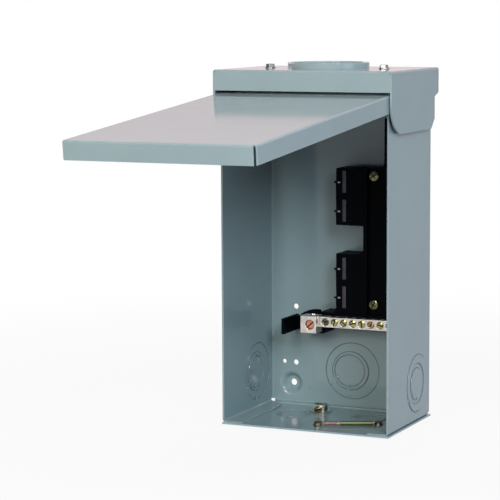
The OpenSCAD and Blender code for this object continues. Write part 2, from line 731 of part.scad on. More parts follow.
at_wall() body_shell();
at_wall() bottom_plate();
at_wall() top_cap();
at_wall() hub_closure();
at_wall() hub_screws();
at_wall() door();
at_wall() hinge_pin_left();
at_wall() hinge_pin_right();
at_wall() interior_base();
at_wall() hook_rails();
at_wall() base_screws();
at_wall() line_bus_a();
at_wall() line_bus_b();
at_wall() bus_screws();
at_wall() line_lug_a();
at_wall() line_lug_b();
at_wall() line_screw_a();
at_wall() line_screw_b();
at_wall() neutral_support();
at_wall() neutral_bar();
at_wall() neutral_screws();
at_wall() neutral_lug();
at_wall() neutral_lug_screw();
at_wall() ground_lug();
at_wall() ground_lug_screw();
at_wall() ground_foot_screw();
at_wall() bond_conductor();
at_wall() bond_sleeve();
at_wall() bond_terminal_screw();
at_wall() bonding_screw();
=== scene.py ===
import json
import math

import bpy
from mathutils import Matrix, Vector


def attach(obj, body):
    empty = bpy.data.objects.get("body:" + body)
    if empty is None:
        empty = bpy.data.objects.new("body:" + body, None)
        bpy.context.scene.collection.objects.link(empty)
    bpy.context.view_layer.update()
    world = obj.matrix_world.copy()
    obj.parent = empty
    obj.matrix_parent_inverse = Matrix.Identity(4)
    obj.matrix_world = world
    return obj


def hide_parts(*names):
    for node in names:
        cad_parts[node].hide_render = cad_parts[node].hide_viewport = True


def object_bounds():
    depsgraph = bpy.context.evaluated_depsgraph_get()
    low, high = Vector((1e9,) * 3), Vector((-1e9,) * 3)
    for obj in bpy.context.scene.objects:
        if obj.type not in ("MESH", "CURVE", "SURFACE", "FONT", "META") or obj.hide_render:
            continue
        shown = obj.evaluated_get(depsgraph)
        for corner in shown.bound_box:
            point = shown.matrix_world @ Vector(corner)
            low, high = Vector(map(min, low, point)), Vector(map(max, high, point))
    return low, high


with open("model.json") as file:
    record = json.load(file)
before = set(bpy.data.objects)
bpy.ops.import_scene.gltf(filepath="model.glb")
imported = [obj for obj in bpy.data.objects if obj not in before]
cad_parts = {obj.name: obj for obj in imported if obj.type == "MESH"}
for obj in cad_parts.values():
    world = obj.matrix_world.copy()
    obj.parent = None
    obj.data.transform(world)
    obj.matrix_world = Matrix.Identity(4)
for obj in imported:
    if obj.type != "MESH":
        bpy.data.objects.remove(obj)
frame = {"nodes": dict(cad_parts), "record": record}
cadLow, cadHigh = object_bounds()
nodes = frame["nodes"]
bodyOf = {node: body for body, members in frame["record"]["behaviour"]["bodies"].items() for node in members}
slotOf = {row["node"]: row["material_slot"] for row in frame["record"]["subparts"]}
mm = 0.001
wallPlane = 109.8
holesMiddle = 146.9
print("frame loaded with", len(nodes), "nodes")


# A place given across from the middle, back from the front edges and up from the floor's underside, in mm
def spot(x, y, z):
    return Vector((x, y - wallPlane, z - holesMiddle)) * mm


# Faces of the sheets, about their middles, and places that several pieces share, in the same mm
sheet = {"sideInner": 74.7, "sideMiddle": 75.5, "sideOuter": 76.2,
         "rearInner": 103.3, "rearMiddle": 104, "rearOuter": 104.8,
         "floorTop": 1.5, "floorMiddle": 0.8}
knockoutX, knockoutY, knockoutZ = 3.4, 71, 34.9
floorKnockouts = ((-34, 60), (36, 68))
withKnockouts = ("body_shell", "bottom_plate")
baseMiddle = 155.7
spacePitch = 25.4


# Camera, as worked out from the box's edges in the picture

cameraSettings = {
    "place": (0.66763, -1.67877, 0.21502),
    "yaw": 0.42861,
    "pitchDown": 0.12064,
    "roll": -0.004725,
    "lens": 147.15,
    "sensor": 36.0,
    "clip": (0.05, 300),
}


def makeCamera(s):
    data = bpy.data.cameras.new("photoCamera")
    data.lens = s["lens"]
    data.sensor_width = s["sensor"]
    data.clip_start, data.clip_end = s["clip"]
    camera = bpy.data.objects.new("photoCamera", data)
    bpy.context.scene.collection.objects.link(camera)
    turn = Matrix.Rotation(s["yaw"], 3, "Z")
    turn = turn @ Matrix.Rotation(math.pi / 2 - s["pitchDown"], 3, "X")
    turn = turn @ Matrix.Rotation(s["roll"], 3, "Z")
    camera.location = s["place"]
    camera.rotation_euler = turn.to_euler()
    bpy.context.scene.camera = camera


makeCamera(cameraSettings)
bpy.context.scene.view_settings.view_transform = "Standard"
print("camera placed")


# Small helpers for shader trees

def addNode(tree, kind, inputs=None, **settings):
    node = tree.nodes.new("ShaderNode" + kind)
    for key, value in settings.items():
        setattr(node, key, value)
    for key, value in (inputs or {}).items():
        if isinstance(value, bpy.types.NodeSocket):
            tree.links.new(value, node.inputs[key])
        else:
            node.inputs[key].default_value = value
    return node


def newGroup(name, inputs, outputs):
    tree = bpy.data.node_groups.new(name, "ShaderNodeTree")
    for label, kind, value in inputs:
        socket = tree.interface.new_socket(label, in_out="INPUT", socket_type="NodeSocket" + kind)
        socket.default_value = value
    for label, kind in outputs:
        tree.interface.new_socket(label, in_out="OUTPUT", socket_type="NodeSocket" + kind)
    return tree, tree.nodes.new("NodeGroupInput").outputs, tree.nodes.new("NodeGroupOutput").inputs


def noise(tree, coord, scale, detail=2.0):
    return addNode(tree, "TexNoise", {"Vector": coord, "Scale": scale, "Detail": detail}).outputs["Fac"]


def remap(tree, value, low, high, fromLow=0.3, fromHigh=0.7):
    inputs = {"Value": value, "From Min": fromLow, "From Max": fromHigh, "To Min": low, "To Max": high}
    return addNode(tree, "MapRange", inputs, interpolation_type="SMOOTHSTEP").outputs["Result"]


def calc(tree, operation, a, b):
    return addNode(tree, "Math", {0: a, 1: b}, operation=operation).outputs[0]


def mixColor(tree, factor, a, b):
    return addNode(tree, "Mix", {0: factor, 6: a, 7: b}, data_type="RGBA").outputs[2]


def scaleColor(tree, color, level):
    node = addNode(tree, "VectorMath", {0: color}, operation="SCALE")
    tree.links.new(level, node.inputs["Scale"])
    return node.outputs[0]


def bumpOf(tree, height, strength, distance):
    return addNode(tree, "Bump", {"Strength": strength, "Distance": distance, "Height": height}).outputs[0]


# Sprayed film: slow blotches in tone and gloss, orange peel, and a painted highlight that lightens the
# softened edges

film = {"blotchScale": 22, "driftScale": 9, "drift": 0.03, "peelScale": 650, "peelDepth": 0.03 * mm}


def makePaintFilm(s):
    tree, given, out = newGroup(
        "paintFilm",
        [("Paint", "Color", (0.5, 0.5, 0.5, 1)), ("Mottle", "Float", 0.03), ("Gloss", "Float", 0.25),
         ("Peel", "Float", 0.2), ("Edge Highlight", "Float", 0.1)],
        [("Color", "Color"), ("Roughness", "Float"), ("Normal", "Vector")])
    coord = addNode(tree, "TexCoord").outputs["Object"]
    blotch = remap(tree, noise(tree, coord, s["blotchScale"], 3), -1, 1)
    edge = addNode(tree, "Attribute", attribute_name="softEdge").outputs["Fac"]
    level = calc(tree, "ADD", calc(tree, "MULTIPLY", blotch, given["Mottle"]), 1.0)
    # Painted highlight: faces on the softened edges are made lighter
    level = calc(tree, "ADD", level, calc(tree, "MULTIPLY", edge, given["Edge Highlight"]))
    tree.links.new(scaleColor(tree, given["Paint"], level), out["Color"])
    drift = remap(tree, noise(tree, coord, s["driftScale"]), -s["drift"], s["drift"])
    tree.links.new(calc(tree, "ADD", given["Gloss"], drift), out["Roughness"])
    peel = noise(tree, coord, s["peelScale"], 1)
    tree.links.new(bumpOf(tree, peel, given["Peel"], s["peelDepth"]), out["Normal"])
    return tree


# Metal skin: lines drawn along one axis, clouds of tarnish, brighter rubbed edges, and painted shade
# darkening the slots

wearAndSlotShade = {"edgeRub": 0.6, "dirt": (0.02, 0.018, 0.014, 1), "lineScale": 1800, "lineGloss": (-0.07, 0.09),
        "lineDepth": 0.04 * mm}


def makeMetalSkin(s):
    tree, given, out = newGroup(
        "metalSkin",
        [("Bright", "Color", (0.7, 0.7, 0.7, 1)), ("Dull", "Color", (0.5, 0.5, 0.5, 1)),
         ("Stretch", "Vector", (1, 1, 1)), ("Cloud Scale", "Float", 150.0), ("Gloss", "Float", 0.3),
         ("Lines", "Float", 0.3)],
        [("Color", "Color"), ("Roughness", "Float"), ("Normal", "Vector")])
    coord = addNode(tree, "TexCoord").outputs["Object"]
    cloud = remap(tree, noise(tree, coord, given["Cloud Scale"], 3), 0, 1)
    edge = addNode(tree, "Attribute", attribute_name="softEdge").outputs["Fac"]
    share = calc(tree, "SUBTRACT", cloud, calc(tree, "MULTIPLY", edge, s["edgeRub"]))
    share = addNode(tree, "Clamp", {"Value": share}).outputs[0]
    # Painted shade: the marked walls and floors of slots are mixed towards a near-black tone
    dirt = addNode(tree, "Attribute", attribute_name="slotDirt").outputs["Fac"]
    skin = mixColor(tree, share, given["Bright"], given["Dull"])
    tree.links.new(mixColor(tree, dirt, skin, s["dirt"]), out["Color"])
    drawn = addNode(tree, "VectorMath", {0: coord, 1: given["Stretch"]}, operation="MULTIPLY").outputs[0]
    lines = noise(tree, drawn, s["lineScale"])
    tree.links.new(calc(tree, "ADD", given["Gloss"], remap(tree, lines, *s["lineGloss"])), out["Roughness"])
    tree.links.new(bumpOf(tree, lines, given["Lines"], s["lineDepth"]), out["Normal"])
    return tree


# Moulded skin: fine spark-eroded grain over faint flow clouds, and a painted highlight on softened edges

eroded = {"cloudScale": 40, "cloudTone": (0.75, 1.25), "cloudGloss": (-0.06, 0.06), "edgeHighlight": 0.5,
          "grainScale": 2600, "grainDepth": 0.04 * mm}


def makeMouldSkin(s):
    tree, given, out = newGroup(
        "mouldSkin",
        [("Tone", "Color", (0.02, 0.02, 0.02, 1)), ("Gloss", "Float", 0.4), ("Grain", "Float", 0.3)],
        [("Color", "Color"), ("Roughness", "Float"), ("Normal", "Vector")])
    coord = addNode(tree, "TexCoord").outputs["Object"]
    cloud = noise(tree, coord, s["cloudScale"], 3)
    edge = addNode(tree, "Attribute", attribute_name="softEdge").outputs["Fac"]
    # Painted highlight: faces on the softened edges are made lighter
    lift = calc(tree, "MULTIPLY", edge, s["edgeHighlight"])
    level = calc(tree, "ADD", remap(tree, cloud, *s["cloudTone"]), lift)
    tree.links.new(scaleColor(tree, given["Tone"], level), out["Color"])
    tree.links.new(calc(tree, "ADD", given["Gloss"], remap(tree, cloud, *s["cloudGloss"])), out["Roughness"])
    grain = noise(tree, coord, s["grainScale"])
    tree.links.new(bumpOf(tree, grain, given["Grain"], s["grainDepth"]), out["Normal"])
    return tree


paintFilm = makePaintFilm(film)
metalSkin = makeMetalSkin(wearAndSlotShade)
mouldSkin = makeMouldSkin(eroded)


def coat(name, group, groupValues, **shaderValues):
    material = bpy.data.materials.new(name)
    material.use_nodes = True
    tree = material.node_tree
    shader = tree.nodes["Principled BSDF"]
    for key, value in shaderValues.items():
        shader.inputs[key].default_value = value
    skin = tree.nodes.new("ShaderNodeGroup")
    skin.node_tree = group
    for key, value in groupValues.items():
        skin.inputs[key].default_value = value
    tree.links.new(skin.outputs["Color"], shader.inputs["Base Color"])
    tree.links.new(skin.outputs["Roughness"], shader.inputs["Roughness"])
    tree.links.new(skin.outputs["Normal"], shader.inputs["Normal"])
    return material


def metal(name, bright, dull, stretch=(1, 1, 1), cloudScale=150.0, gloss=0.3, lines=0.3):
    values = {"Bright": (*bright, 1), "Dull": (*dull, 1), "Stretch": stretch, "Cloud Scale": cloudScale,
              "Gloss": gloss, "Lines": lines}
    return coat(name, metalSkin, values, Metallic=1.0)


def mould(name, tone, gloss, grain, **shaderValues):
    return coat(name, mouldSkin, {"Tone": (*tone, 1), "Gloss": gloss, "Grain": grain}, **shaderValues)


finishes = {
    "grey_paint": coat("greyPaint", paintFilm,
                       {"Paint": (0.250, 0.342, 0.368, 1), "Mottle": 0.02, "Gloss": 0.09, "Peel": 0.08,
                        "Edge Highlight": 0.3}),
    "black_moulding": mould("blackMoulding", (0.001, 0.0016, 0.003), gloss=0.45, grain=0.2,
                            **{"Specular IOR Level": 0.035}),
    "green_insulation": mould("greenInsulation", (0.050, 0.064, 0.023), gloss=0.16, grain=0.06),
    "green_screw": metal("greenScrew", (0.21, 0.32, 0.17), (0.09, 0.17, 0.07)),
    "plated_screw": metal("platedScrew", (0.55, 0.56, 0.55), (0.34, 0.35, 0.35), gloss=0.4),
    "rail_steel": metal("railSteel", (0.075, 0.072, 0.09), (0.05, 0.048, 0.06), (1, 1, 0.05), gloss=0.5),
    "yellow_zinc": metal("yellowZinc", (0.58, 0.52, 0.25), (0.27, 0.26, 0.09), cloudScale=420.0, gloss=0.2),
    "tinned_bus": metal("tinnedBus", (0.84, 0.81, 0.80), (0.66, 0.63, 0.62), (1, 1, 0.04), gloss=0.35),
    "lug_aluminium": metal("lugAluminium", (0.88, 0.85, 0.79), (0.66, 0.63, 0.57), (0.04, 1, 1), gloss=0.27),
    "copper_screw": metal("copperScrew", (0.80, 0.38, 0.27), (0.58, 0.24, 0.16), cloudScale=300.0,
                          gloss=0.32),
    "bare_copper": metal("bareCopper", (0.62, 0.43, 0.37), (0.43, 0.29, 0.25), gloss=0.3),
}
brownZinc = metal("brownZinc", (0.50, 0.34, 0.22), (0.30, 0.19, 0.11), cloudScale=420.0, gloss=0.3)
# A darker copy of the zinc: painted shade for the sunk screw beside the neutral lug
paintedShadeZinc = metal("paintedShadeZinc", (0.20, 0.19, 0.12), (0.10, 0.10, 0.06), cloudScale=420.0, gloss=0.35)
dullZinc = metal("dullZinc", (0.22, 0.22, 0.12), (0.09, 0.09, 0.04), cloudScale=420.0, gloss=0.22)
# A lighter green: painted highlight along the sleeve
sleeveHighlight = mould("sleeveTracer", (0.26, 0.29, 0.15), gloss=0.16, grain=0.06)
eyeTin = metal("eyeTin", (0.36, 0.31, 0.24), (0.20, 0.16, 0.12), cloudScale=300.0, gloss=0.4)
# A darker paint: painted shade for the walls and bottoms of the shear lines
cutLine = coat("cutLine", paintFilm, {"Paint": (0.12, 0.16, 0.175, 1), "Mottle": 0.15, "Gloss": 0.5,
                                      "Peel": 0.1, "Edge Highlight": 0.0})
print("materials made")


# Helpers for modelling; a face whose normal has less than steepBelow along an axis counts as a wall

steepBelow = 0.5
flatAbove = 0.9
sharpFrom = {"sheet": 40, "turned": 35}


def deselectAll():
    if bpy.context.mode != "OBJECT":
        bpy.ops.object.mode_set(mode="OBJECT")
    bpy.ops.object.select_all(action="DESELECT")


def pickUp(piece):
    deselectAll()
    piece.select_set(True)
    bpy.context.view_layer.objects.active = piece


def editPart(piece, kind):
    pickUp(piece)
    bpy.context.tool_settings.mesh_select_mode = (False, kind == "EDGE", kind == "FACE")
    bpy.ops.object.mode_set(mode="EDIT")
    bpy.ops.mesh.select_all(action="DESELECT")


def selectFaces(piece, test):
    editPart(piece, "FACE")
    bpy.ops.object.mode_set(mode="OBJECT")
    for face in piece.data.polygons:
        face.select = test(face)
    bpy.ops.object.mode_set(mode="EDIT")


def selectSharp(piece, sharperThan, test):
    editPart(piece, "EDGE")
    bpy.ops.mesh.edges_select_sharp(sharpness=math.radians(sharperThan))
    bpy.ops.object.mode_set(mode="OBJECT")
    for face in piece.data.polygons:
        face.select = False  # a selected face would bring its short edges back
    points = piece.data.vertices
    for edge in piece.data.edges:
        if edge.select:
            edge.select = test(points[edge.vertices[0]].co, points[edge.vertices[1]].co)
    bpy.ops.object.mode_set(mode="EDIT")


# Smooth shading in which large flats keep their own direction
def smooth(piece, angle=28):
    pickUp(piece)
    bpy.ops.object.shade_smooth_by_angle(angle=math.radians(angle))
    flats = piece.modifiers.new("flats", "WEIGHTED_NORMAL")
    flats.weight = 100
    flats.keep_sharp = True
    bpy.ops.object.modifier_apply(modifier="flats")


def faceOutward(piece):
    editPart(piece, "FACE")
    bpy.ops.mesh.select_all(action="SELECT")
    bpy.ops.mesh.normals_make_consistent(inside=False)
    bpy.ops.object.mode_set(mode="OBJECT")


def cutAway(piece, cutter):
    pickUp(piece)
    cut = piece.modifiers.new("cut", "BOOLEAN")
    cut.object = cutter
    cut.operation = "DIFFERENCE"
    cut.solver = "EXACT"
    bpy.ops.object.modifier_apply(modifier="cut")
    bpy.data.objects.remove(cutter)


def joinParts(parts, name):
    pickUp(parts[0])
    for part in parts[1:]:
        part.select_set(True)
    bpy.ops.object.join()
    parts[0].name = name
    return parts[0]


# A merged copy of a solid whose sharp edges are softened, as a real cut or moulded edge is

merging = {"distance": 0.002 * mm, "flatterThan": 0.6}


def mergedCopy(nodeName, pieceName):
    piece = bpy.data.objects.new(pieceName, nodes[nodeName].data.copy())
    bpy.context.scene.collection.objects.link(piece)
    editPart(piece, "EDGE")
    bpy.ops.mesh.select_all(action="SELECT")
    bpy.ops.mesh.customdata_custom_splitnormals_clear()
    bpy.ops.mesh.remove_doubles(threshold=merging["distance"])
    if nodeName in withKnockouts:
        for place, way in knockouts["cuts"]:
            bpy.ops.mesh.select_all(action="SELECT")
            bpy.ops.mesh.bisect(plane_co=place, plane_no=way)
        selectFaces(piece, lambda face: not onKnockout(face.center, face.center, "zone"))
    if nodeName in softness:
        bpy.ops.mesh.dissolve_limited(angle_limit=math.radians(merging["flatterThan"]), delimit={"NORMAL"})
    return piece


def soften(piece, width, test, segments=2):
    selectSharp(piece, sharpFrom["sheet"], test)
    bpy.ops.mesh.bevel(offset=width, segments=segments, affect="EDGES", clamp_overlap=False)
    bpy.ops.object.mode_set(mode="OBJECT")


def softCopy(nodeName, pieceName, width, shortest):
    piece = mergedCopy(nodeName, pieceName)
    if nodeName in withKnockouts:
        rollShearLines(piece, nodeName)
    if nodeName == "body_shell":
        soften(piece, pressing["rimSoftness"], onPressedRim, segments=5)
    soften(piece, width, lambda a, b: (a - b).length > shortest and not onKnockout(a, b))
    layer = piece.data.attributes.new("softEdge", "FLOAT", "FACE")
    layer.data.foreach_set("value", [1.0 if face.select else 0.0 for face in piece.data.polygons])
    smooth(piece)
    return piece


def dress(piece, nodeName, finish=None):
    piece.data.materials.clear()
    piece.data.materials.append(finish or finishes[slotOf[nodeName]])
    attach(piece, bodyOf[nodeName])
    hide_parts(nodeName)


# Sheet, moulded and bar pieces

pressing = {"holes": [spot(x, 0, z) for x in (-55.5, 55.5) for z in (19.9, 273.9)], "reach": 12 * mm,
            "holeEdge": 4.5 * mm, "innerFace": spot(0, sheet["rearInner"], 0).y, "slack": 0.1 * mm,
            "sink": 4.6 * mm, "rimSoftness": 1.8 * mm}
wallReach = 28.5
knockouts = {
    "rear": spot(knockoutX, sheet["rearMiddle"], knockoutZ),
    "side": spot(sheet["sideMiddle"], knockoutY, knockoutZ),
    "floor": [spot(x, y, sheet["floorMiddle"]) for x, y in floorKnockouts],
    "wallReach": wallReach * mm,
    "floorReach": 19.5 * mm,
    "depth": 2.6 * mm,
    "cuts": [(spot(0, 0, knockoutZ + wallReach), (0, 0, 1)), (spot(0, knockoutY - wallReach, 0), (0, 1, 0)),
             (spot(knockoutX - wallReach, 0, 0), (1, 0, 0)), (spot(knockoutX + wallReach, 0, 0), (1, 0, 0))],
}


def onPressedRim(a, b):
    s = pressing
    for point in (a, b):
        if not s["innerFace"] - s["slack"] <= point.y <= s["innerFace"] + s["sink"]:
            return False
        away = min(math.hypot(point.x - hole.x, point.z - hole.z) for hole in s["holes"])
        if not s["holeEdge"] <= away <= s["reach"]:
            return False
    return True


# Whether a place lies on a knockout; its shear lines are narrower than a bevel and get none
def onKnockout(a, b, shape="round"):
    k = knockouts
    middle = (a + b) / 2

    def near(u, v, reach):
        return max(abs(u), abs(v)) < reach if shape == "zone" else math.hypot(u, v) < reach

    if abs(middle.y - k["rear"].y) < k["depth"]:
        if near(middle.x - k["rear"].x, middle.z - k["rear"].z, k["wallReach"]):
            return True
    if abs(abs(middle.x) - k["side"].x) < k["depth"]:
        if near(middle.y - k["side"].y, middle.z - k["side"].z, k["wallReach"]):
            return True
    if abs(middle.z - k["floor"][0].z) < k["depth"]:
        return any(near(middle.x - p.x, middle.y - p.y, k["floorReach"]) for p in k["floor"])
    return False


# Shear lines get a darker coat on their walls and bottoms, as painted shade in the narrow grooves; the
# levels are listed by axis
cutBottoms = {0: [75.5 * mm, 75.9 * mm], 1: [spot(0, y, 0).y for y in (104.1, 104.5)],
              2: [spot(0, 0, z).z for z in (0.3, 0.7)]}
cutSlack = 0.05 * mm


def shadeCuts(piece):
    piece.data.materials.append(cutLine)
    for face in piece.data.polygons:
        place = face.center
        if not onKnockout(place, place):
            continue
        axis = 0
        if piece.name == "bottomPlate":
            axis = 2
        elif abs(place.y - knockouts["rear"].y) < knockouts["depth"]:
            axis = 1
        level = abs(place.x) if axis == 0 else place[axis]
        onBottom = min(abs(level - low) for low in cutBottoms[axis]) < cutSlack
        if abs(face.normal[axis]) < steepBelow or onBottom:
            face.material_index = 1


# The punch rolls the sheet in along every shear line, which a ring of round section cuts
rolled = {"section": 0.7 * mm, "lift": 0.15, "step": 0.6, "shifts": (1, 0.7, 0), "shiftPart": 9,
          "wall": (14.1, 17.5, 25.2), "floor": (11.1, 14.1, 17.5)}


def shearNests(nodeName):
    s = rolled
    nests = []
    if nodeName == "bottom_plate":
        top = sheet["floorTop"] + s["lift"]
        for x, y in floorKnockouts:
            nests.append((s["floor"], lambda shift, x=x, y=y: spot(x - shift, y, top), "Z"))
        return nests
    for y in (sheet["rearInner"] - s["lift"], sheet["rearOuter"] + s["step"] + s["lift"]):
        nests.append((s["wall"], lambda shift, y=y: spot(knockoutX - shift, y, knockoutZ), "Y"))
    for side in (-1, 1):
        for x in (sheet["sideInner"] - s["lift"], sheet["sideOuter"] + s["step"] + s["lift"]):
            nests.append((s["wall"], lambda shift, x=x * side: spot(x, knockoutY - shift, knockoutZ), "X"))
    return nests


turnOf = {"X": Matrix.Rotation(math.pi / 2, 4, "Y"), "Y": Matrix.Rotation(math.pi / 2, 4, "X"),
          "Z": Matrix.Identity(4)}


def rollShearLines(piece, nodeName):
    rings = []
    for radii, placeOf, axis in shearNests(nodeName):
        for radius, shift in zip(radii, rolled["shifts"]):
            deselectAll()
            bpy.ops.mesh.primitive_torus_add(major_radius=radius * mm, minor_radius=rolled["section"],
                                             major_segments=112, minor_segments=16)
            ring = bpy.context.object
            place = placeOf(shift * radii[2] / rolled["shiftPart"])
            ring.data.transform(Matrix.Translation(place) @ turnOf[axis])
            rings.append(ring)
    cutAway(piece, joinParts(rings, "shearRings"))


softness = {
    "body_shell": 0.3, "bottom_plate": 0.3, "top_cap": 0.3, "door": 0.28,
    "hinge_pin_left": 0.3, "hinge_pin_right": 0.3, "interior_base": 0.5, "neutral_support": 0.5,
    "hook_rails": 0.4, "line_bus_a": 0.25, "line_bus_b": 0.25, "line_lug_a": 0.5, "line_lug_b": 0.5,
    "neutral_bar": 0.3, "neutral_lug": 0.6, "ground_lug": 0.5, "bond_sleeve": 0.3,
}


def camel(nodeName):
    first, *rest = nodeName.split("_")
    return first + "".join(word.capitalize() for word in rest)


shortestSoftened = {"interior_base": 1.0, "body_shell": 1.6, "bottom_plate": 1.2, "top_cap": 2.4}
usualShortest = 0.4
for nodeName, width in softness.items():
    shortest = shortestSoftened.get(nodeName, usualShortest) * mm
    piece = softCopy(nodeName, camel(nodeName), width * mm, shortest)
    dress(piece, nodeName)
    if nodeName in withKnockouts:
        shadeCuts(piece)
hubClosure = mergedCopy("hub_closure", "hubClosure")  # its rim is already round
smooth(hubClosure)
dress(hubClosure, "hub_closure")
print("softened pieces:", len(softness) + 1)


# Screws are modelled once, head up at the origin, and copied into place

facingFront = turnOf["Y"]
facingUp = turnOf["Z"]
cutterHeight = 10 * mm
shadeSlack = 0.06 * mm
shortestTurned = 0.05 * mm


def cutSlot(piece, length, width, bottom, turn):
    deselectAll()
    bpy.ops.mesh.primitive_cube_add(size=1, location=(0, 0, bottom + cutterHeight / 2))
    cutter = bpy.context.object
    bpy.ops.transform.resize(value=(length, width, cutterHeight))
    bpy.ops.transform.rotate(value=turn, orient_axis="Z", center_override=(0, 0, 0))
    cutAway(piece, cutter)


# Marks the faces that lie below the crown and inside the rim, which are a slot's walls and floor, for the
# painted shade that darkens them
def paintSlotShade(piece, radius, deepest, crown):
    layer = piece.data.attributes.new("slotDirt", "FLOAT", "FACE")
    for face, value in zip(piece.data.polygons, layer.data):
        inside = math.hypot(face.center.x, face.center.y) < radius
        upright = abs(face.normal.z) < steepBelow and face.center.z > deepest
        onFloor = face.normal.z > flatAbove and abs(face.center.z - deepest) < shadeSlack
        value.value = 1.0 if inside and face.center.z < crown and (upright or onFloor) else 0.0


def roundEdges(piece, width):
    selectSharp(piece, sharpFrom["turned"], lambda a, b: (a - b).length > shortestTurned)
    bpy.ops.mesh.bevel(offset=width, segments=2, affect="EDGES", clamp_overlap=True)
    bpy.ops.object.mode_set(mode="OBJECT")
    smooth(piece, 30)


# Shares of a head's height and radius, and the steps of its domed crown
headForm = {"rim": 0.7, "dome": ((0.06, 0.14), (0.2, 0.12), (0.3, 0.04)), "slotFloor": 0.3, "slotLength": 3,
            "crossLength": 1.25, "edge": 0.035, "shadeReach": 0.97}


def modelHead(name, s):
    deselectAll()
    rim = s["height"] * headForm["rim"]
    slotFloor = s["height"] * headForm["slotFloor"]
    bpy.ops.mesh.primitive_cylinder_add(vertices=48, radius=s["radius"], depth=rim, location=(0, 0, rim / 2))
    screw = bpy.context.object
    screw.name = name
    bpy.ops.object.transform_apply(location=True)
    selectFaces(screw, lambda face: face.normal.z > flatAbove)
    for inset, lift in headForm["dome"]:
        bpy.ops.mesh.inset(thickness=s["radius"] * inset)
        bpy.ops.transform.translate(value=(0, 0, s["height"] * lift))
    selectFaces(screw, lambda face: face.normal.z < -flatAbove)
    bpy.ops.mesh.inset(thickness=s["radius"] - s["shank"])
    bpy.ops.mesh.extrude_region_move(TRANSFORM_OT_translate={"value": (0, 0, -s["length"])})
    bpy.ops.object.mode_set(mode="OBJECT")
    cutSlot(screw, s["radius"] * s.get("slotLength", headForm["slotLength"]), s["slot"], slotFloor, 0)
    if s.get("cross"):
        cutSlot(screw, s["radius"] * headForm["crossLength"], s["slot"], slotFloor, math.pi / 2)
    roundEdges(screw, s["radius"] * headForm["edge"])
    paintSlotShade(screw, s["radius"] * headForm["shadeReach"], slotFloor, s["height"])
    return screw


def modelHex(name, s):
    deselectAll()
    bpy.ops.mesh.primitive_cylinder_add(vertices=6, radius=s["radius"], depth=s["height"],
                                        location=(0, 0, s["height"] / 2))
    screw = bpy.context.object
    screw.name = name
    bpy.ops.object.transform_apply(location=True)
    selectFaces(screw, lambda face: face.normal.z > flatAbove)
    bpy.ops.mesh.bevel(offset=s["radius"] * s["topRound"], segments=3, affect="EDGES")
    bpy.ops.object.mode_set(mode="OBJECT")
    cutSlot(screw, s["radius"] * s["slotLength"], s["slot"], s["height"] * s["slotFloor"], s["slotTurn"])
    bpy.ops.mesh.primitive_cylinder_add(vertices=48, radius=s["washer"], depth=s["washerThick"],
                                        location=(0, 0, s["washerThick"] / 2))
    washer = bpy.context.object
    roundEdges(washer, s["washerEdge"])
    bpy.ops.mesh.primitive_cylinder_add(vertices=32, radius=s["shank"], depth=s["length"],
                                        location=(0, 0, -s["length"] / 2))
    shank = bpy.context.object
    for part in (washer, shank):
        pickUp(part)
        bpy.ops.object.transform_apply(location=True)
    roundEdges(screw, s["edge"])
    joinParts((screw, washer, shank), name)
    smooth(screw, 30)
    return screw


# Headless clamp screw with its thread, drawn upward ring by ring from the tip
thread = {"pitch": 0.8 * mm, "depth": 0.22 * mm, "plainTop": 0.6 * mm, "topRise": 0.35 * mm, "topShare": 0.9,
          "slotDepth": 1.1 * mm, "slotLength": 3, "shadeReach": 0.85, "dirtTop": 0.1 * mm}


def drawUp(rise, grow=1.0):
    bpy.ops.mesh.extrude_region_move(TRANSFORM_OT_translate={"value": (0, 0, rise)})
    bpy.ops.transform.resize(value=(grow, grow, 1))


def modelGrub(name, s):
    deselectAll()
    pitch = thread["pitch"]
    root = s["radius"] - thread["depth"]
    bpy.ops.mesh.primitive_circle_add(vertices=48, radius=root, fill_type="NGON",
                                      location=(0, 0, -s["length"]))
    screw = bpy.context.object
    screw.name = name
    bpy.ops.object.transform_apply(location=True)
    editPart(screw, "FACE")
    bpy.ops.mesh.select_all(action="SELECT")
    wide = s["radius"] / root
    turns = int((s["length"] - thread["plainTop"]) / pitch)
    for turn in range(turns):
        for rise, grow in ((0.3, wide), (0.2, 1.0), (0.3, 1 / wide), (0.2, 1.0)):
            drawUp(rise * pitch, grow)
    drawUp(s["length"] - turns * pitch - thread["topRise"])
    drawUp(thread["topRise"], thread["topShare"])
    faceOutward(screw)
    cutSlot(screw, s["radius"] * thread["slotLength"], s["slot"], -thread["slotDepth"], 0)
    smooth(screw, 25)
    paintSlotShade(screw, s["radius"] * thread["shadeReach"], -thread["slotDepth"], thread["dirtTop"])
    return screw


def placeScrews(name, template, places, facing, turns):
    copies = []
    for place, turn in zip(places, turns):
        copy = bpy.data.objects.new(name, template.data.copy())
        bpy.context.scene.collection.objects.link(copy)
        copy.data.transform(Matrix.Translation(place) @ facing @ Matrix.Rotation(math.radians(turn), 4, "Z"))
        copies.append(copy)
    return joinParts(copies, name)


